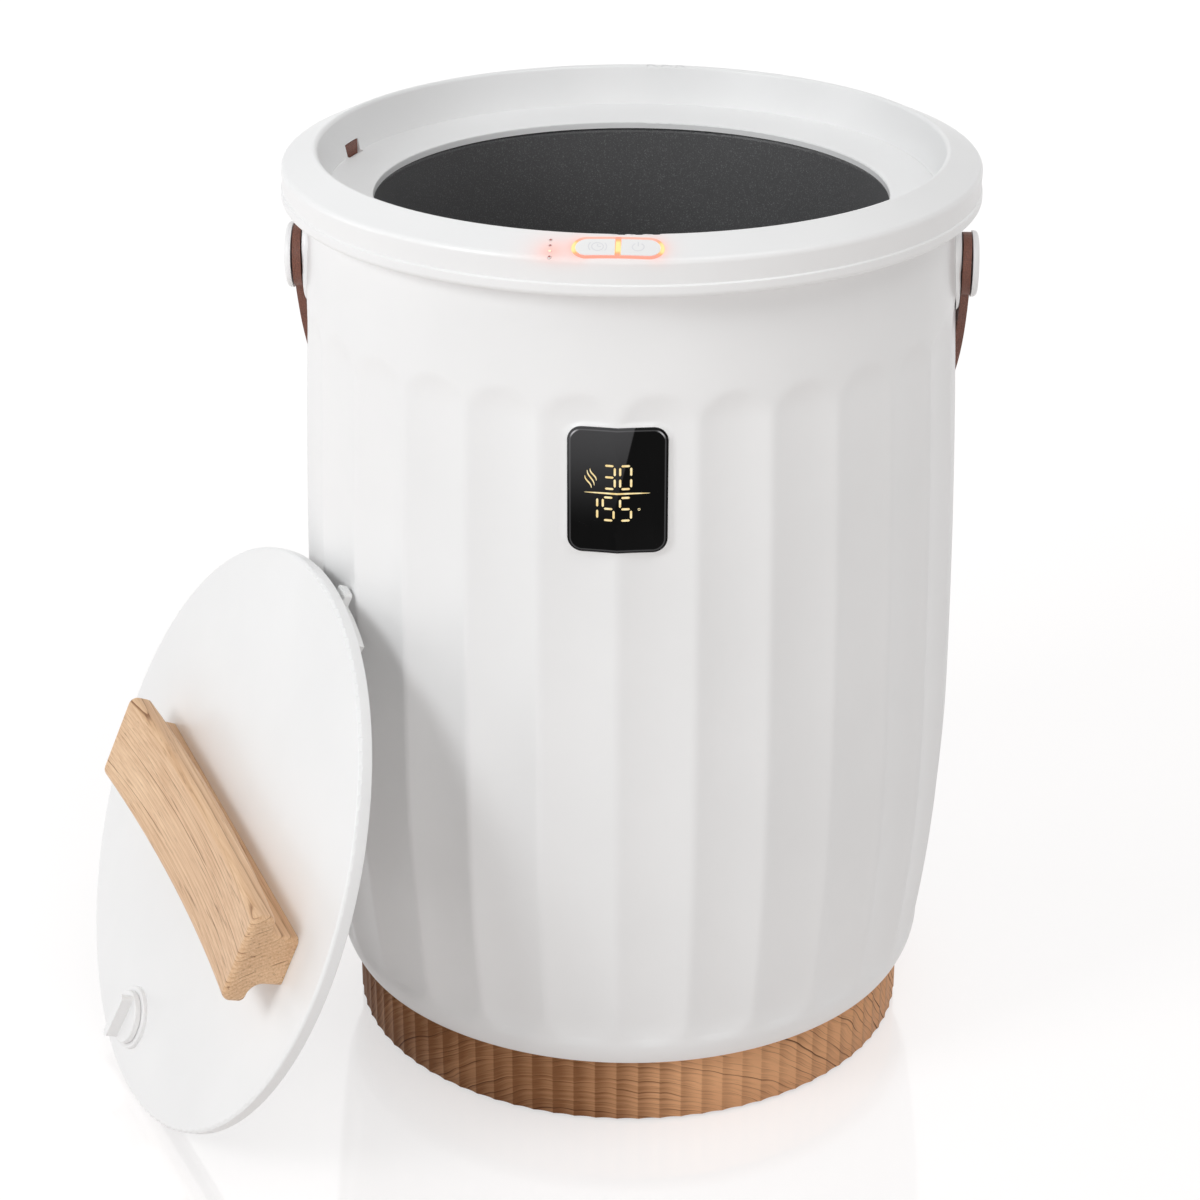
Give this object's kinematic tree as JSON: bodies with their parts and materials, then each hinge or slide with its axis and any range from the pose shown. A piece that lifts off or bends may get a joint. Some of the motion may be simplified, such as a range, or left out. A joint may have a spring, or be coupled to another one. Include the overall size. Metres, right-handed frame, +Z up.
{
  "type": "towel warmer bucket",
  "caption": "Round fluted bucket that warms towels, with a wood-look plinth, sloping rim, display, lit buttons, leather carry strap and a lift-off lid leaning on its side.",
  "frame": {"origin": "on the bucket's axis at floor level", "axes": "+Z up, the display and buttons face -Y, +X to the right seen from the front; the lid leans at the front left"},
  "size_m": [0.4434, 0.4097, 0.4549],
  "materials": {
    "white_shell": "satin white moulding",
    "wood_plinth": "brown wood grain, satin",
    "wood_handle": "light wood grain, satin",
    "brown_leather": "reddish brown, smooth",
    "grey_rubber": "matt",
    "coated_pot": "dark grey non-stick coating with a fine speckle",
    "black_window": "polished black",
    "lit_plastic": "translucent, lit from behind",
    "bright_steel": "plain",
    "circuit_board": "green solder mask",
    "dark_components": "matt",
    "foil_film": "foil",
    "felt": "felt",
    "grey_plastic": "matt"
  },
  "bodies": {
    "bucket": {"base_ring": "wood_plinth", "base_plate": "grey_plastic", "rubber_feet": "grey_rubber", "base_screws": "bright_steel", "cord_gland": "grey_rubber", "outer_shell": "white_shell", "display_lens": "black_window", "display_tray": "white_shell", "display_module": "circuit_board", "top_rim": "white_shell", "seat_ring": "white_shell", "light_ring": "lit_plastic", "indicator_lights": "lit_plastic", "button_board": "circuit_board", "button_switches": "dark_components", "inner_pot": "coated_pot", "heating_film": "foil_film", "insulation_jacket": "felt", "pot_cradle": "grey_plastic", "thermostat": "bright_steel", "thermal_fuse": "grey_plastic", "power_board": "circuit_board", "board_components": "dark_components", "left_strap_boss": "white_shell", "right_strap_boss": "white_shell", "left_strap_backing": "brown_leather", "right_strap_backing": "brown_leather", "left_strap_pin": "bright_steel", "right_strap_pin": "bright_steel", "left_strap_cap": "white_shell", "right_strap_cap": "white_shell"},
    "strap": {"carry_strap": "brown_leather"},
    "power_key": {"power_button": "white_shell"},
    "timer_key": {"timer_button": "white_shell"},
    "lid": {"lid_shell": "white_shell", "lid_liner": "white_shell", "lid_gasket": "grey_rubber", "lid_insulation": "felt", "lid_handle": "wood_handle", "handle_screws": "bright_steel", "fragrance_cup": "white_shell", "fragrance_pad": "felt"},
    "fragrance_knob": {"fragrance_cap": "white_shell"}
  },
  "joints": [
    {"name": "lid_lift", "type": "slide", "parent": "bucket", "child": "lid", "axis": [-0.3492, -0.1888, 0.9178], "range_m": [0, 0.2]},
    {"name": "strap_swing", "type": "hinge", "parent": "bucket", "child": "strap", "pos_m": [0, 0, 0.397], "axis": [1, 0, 0], "range_deg": [0, 75]},
    {"name": "power_press", "type": "slide", "parent": "bucket", "child": "power_key", "axis": [0, 0.4066, -0.9136], "range_m": [0, 0.001], "stiffness_N_per_m": 800},
    {"name": "timer_press", "type": "slide", "parent": "bucket", "child": "timer_key", "axis": [0, 0.4066, -0.9136], "range_m": [0, 0.001], "stiffness_N_per_m": 800},
    {"name": "fragrance_knob_turn", "type": "hinge", "parent": "lid", "child": "fragrance_knob", "pos_m": [-0.24401, -0.10508, 0.03027], "axis": [-0.8179, -0.4422, 0.3681], "range_deg": [0, 90]}
  ]
}
